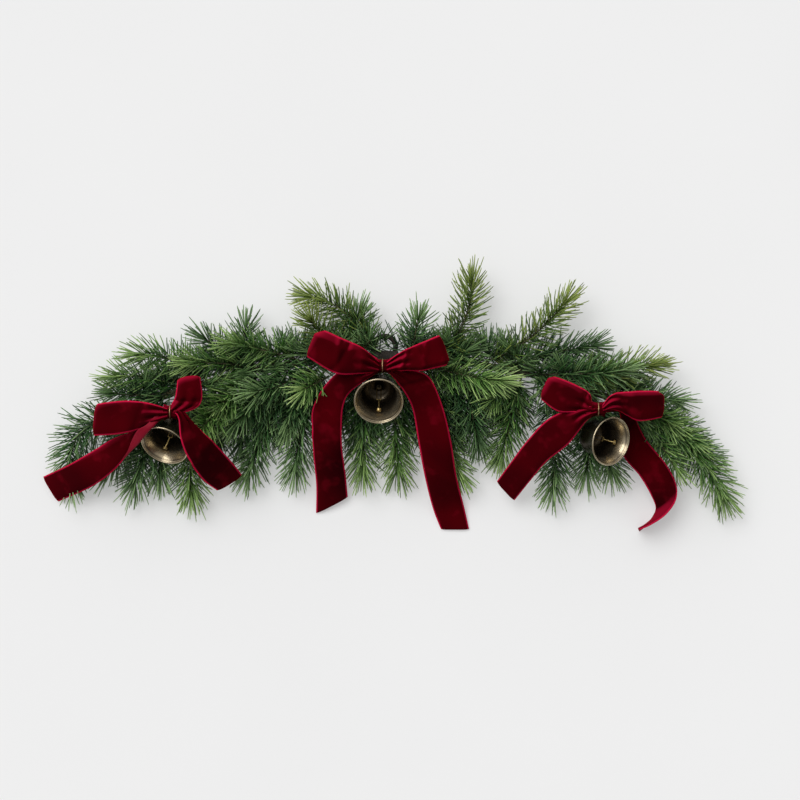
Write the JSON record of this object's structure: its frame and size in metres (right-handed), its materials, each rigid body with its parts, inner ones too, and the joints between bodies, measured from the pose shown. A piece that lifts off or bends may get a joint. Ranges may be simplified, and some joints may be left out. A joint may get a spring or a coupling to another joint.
{
  "type": "christmas bell swag",
  "caption": "Artificial pine swag that hangs from a wire loop, with velvet ribbon bows, each carrying a small brass bell with a loose clapper.",
  "frame": {"origin": "centre of the hanging loop, where the nail or hook goes", "axes": "+X along the swag, to the right when it hangs; +Y up the wall; +Z out of the swag's face"},
  "size_m": [0.7716, 0.2966, 0.0952],
  "materials": {
    "pine_needles": "moulded soft needles, satin",
    "stem_wrap": "wrapped wire bundle, matte",
    "binding_tape": "floral tape, matte",
    "loop_tape": "floral tape wound on wire, matte",
    "velvet_ribbon": "short pile velvet, bright selvedge",
    "tie_wire": "thin bright wire",
    "antique_brass": "antiqued, dark with worn lip",
    "bell_wire": "dull wire",
    "clapper_brass": "satin"
  },
  "bodies": {
    "root": {"bow_centre": "velvet_ribbon", "bow_left": "velvet_ribbon", "bow_right": "velvet_ribbon", "centre_binding": "binding_tape", "hanging_loop": "loop_tape", "stem": "stem_wrap", "tie_wire_centre": "tie_wire", "tie_wire_left": "tie_wire", "tie_wire_right": "tie_wire", "tip_centre_back": "pine_needles", "tip_centre_crest_left": "pine_needles", "tip_centre_crest_long": "pine_needles", "tip_centre_crest_middle": "pine_needles", "tip_centre_crest_right": "pine_needles", "tip_centre_front_bright": "pine_needles", "tip_centre_front_right": "pine_needles", "tip_centre_low_left": "pine_needles", "tip_centre_low_right": "pine_needles", "tip_centre_skirt_left_pair": "pine_needles", "tip_centre_skirt_right": "pine_needles", "tip_left_bow_front": "pine_needles", "tip_left_end_long": "pine_needles", "tip_left_end_lower": "pine_needles", "tip_left_end_upper": "pine_needles", "tip_left_face_low": "pine_needles", "tip_left_face_side": "pine_needles", "tip_left_face_wide": "pine_needles", "tip_left_high": "pine_needles", "tip_left_low": "pine_needles", "tip_left_low_pair": "pine_needles", "tip_left_side": "pine_needles", "tip_left_skirt_inner": "pine_needles", "tip_left_top_back_pair": "pine_needles", "tip_left_top_front": "pine_needles", "tip_left_top_middle": "pine_needles", "tip_right_back": "pine_needles", "tip_right_crest_tall": "pine_needles", "tip_right_crest_wide": "pine_needles", "tip_right_end_front": "pine_needles", "tip_right_end_long": "pine_needles", "tip_right_end_middle": "pine_needles", "tip_right_end_pair": "pine_needles", "tip_right_end_side": "pine_needles", "tip_right_end_wide": "pine_needles", "tip_right_low_long_pair": "pine_needles", "tip_right_low_pair": "pine_needles", "tip_right_skirt_inner": "pine_needles", "tip_right_skirt_pair": "pine_needles", "tip_right_top_back": "pine_needles", "tip_right_top_front": "pine_needles", "tip_right_top_side": "pine_needles"},
    "bell_left": {"bell_cup_left": "antique_brass", "bell_staple_left": "bell_wire"},
    "clapper_left": {"clapper_left": "clapper_brass"},
    "bell_centre": {"bell_cup_centre": "antique_brass", "bell_staple_centre": "bell_wire"},
    "clapper_centre": {"clapper_centre": "clapper_brass"},
    "bell_right": {"bell_cup_right": "antique_brass", "bell_staple_right": "bell_wire"},
    "clapper_right": {"clapper_right": "clapper_brass"}
  },
  "joints": [
    {"name": "bell_swing_left", "type": "hinge", "parent": "root", "child": "bell_left", "pos_m": [-0.224, -0.079, 0.028], "axis": [0.9292, -0.3697, 0], "range_deg": [0, 30]},
    {"name": "clapper_swing_left", "type": "hinge", "parent": "bell_left", "child": "clapper_left", "pos_m": [-0.22656, -0.08544, 0.03493], "axis": [0.9292, -0.3697, 0], "range_deg": [-74, 0]},
    {"name": "bell_swing_centre", "type": "hinge", "parent": "root", "child": "bell_centre", "pos_m": [-0.006, -0.041, 0.028], "axis": [1, 0, 0], "range_deg": [0, 49]},
    {"name": "clapper_swing_centre", "type": "hinge", "parent": "bell_centre", "child": "clapper_centre", "pos_m": [-0.006, -0.0453, 0.03681], "axis": [1, 0, 0], "range_deg": [-74, 0]},
    {"name": "bell_swing_right", "type": "hinge", "parent": "root", "child": "bell_right", "pos_m": [0.217, -0.095, 0.028], "axis": [0.28, 0.96, 0], "range_deg": [0, 33]},
    {"name": "clapper_swing_right", "type": "hinge", "parent": "bell_right", "child": "clapper_right", "pos_m": [0.22266, -0.09665, 0.03583], "axis": [0.28, 0.96, 0], "range_deg": [-74, 0]}
  ]
}
